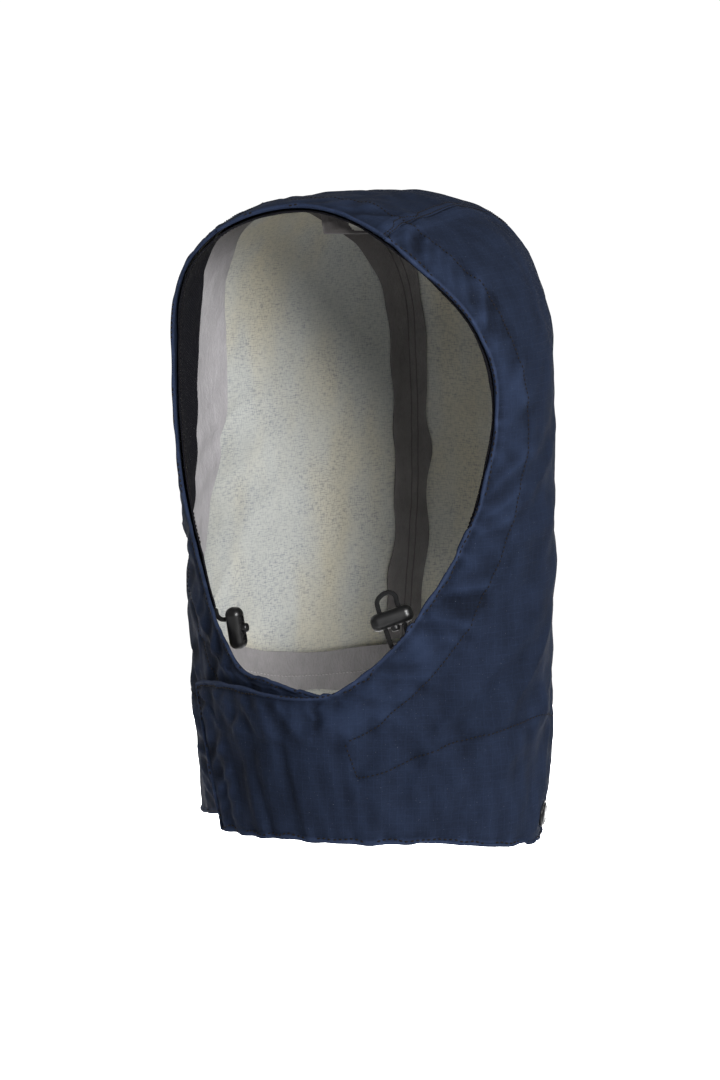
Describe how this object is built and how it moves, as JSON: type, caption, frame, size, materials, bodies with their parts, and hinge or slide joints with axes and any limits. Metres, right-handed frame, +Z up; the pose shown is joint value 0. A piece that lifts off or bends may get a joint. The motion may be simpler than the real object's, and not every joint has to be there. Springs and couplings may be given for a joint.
{
  "type": "arc flash hood",
  "caption": "Detachable navy arc flash hood with an open face, a closed chin flap, grey taped seams inside, elastic drawcords with black cord locks, and press studs at the hem.",
  "frame": {"origin": "seat on the head, at the inner face of the crown on the hood's middle plane", "axes": "+Z up out of the crown, -Y out of the face opening, +X to the wearer's left"},
  "size_m": [0.2274, 0.2523, 0.3879],
  "materials": {
    "cloth": "navy ripstop outside, pale speckled membrane inside",
    "facing": "dark twill",
    "tape": "smooth grey seam tape",
    "cord": "braided elastic",
    "plastic": "glossy black",
    "stud": "black lacquer"
  },
  "bodies": {
    "root": {"centre_panel": "cloth", "left_side_panel": "cloth", "right_side_panel": "cloth", "face_facing": "facing", "face_tape": "tape", "left_seam_tape": "tape", "right_seam_tape": "tape", "neck_tape": "tape", "left_drawcord": "cord", "right_drawcord": "cord", "left_cord_lock": "plastic", "right_cord_lock": "plastic", "left_press_stud": "stud", "right_press_stud": "stud"},
    "left_button": {"left_lock_button": "plastic"},
    "right_button": {"right_lock_button": "plastic"}
  },
  "joints": [
    {"name": "left_button_press", "type": "slide", "parent": "root", "child": "left_button", "axis": [-0.3779, -0.0104, 0.9258], "range_m": [0, 0.0022], "stiffness_N_per_m": 250},
    {"name": "right_button_press", "type": "slide", "parent": "root", "child": "right_button", "axis": [-0.9795, -0.1481, -0.1365], "range_m": [0, 0.0022], "stiffness_N_per_m": 250}
  ]
}
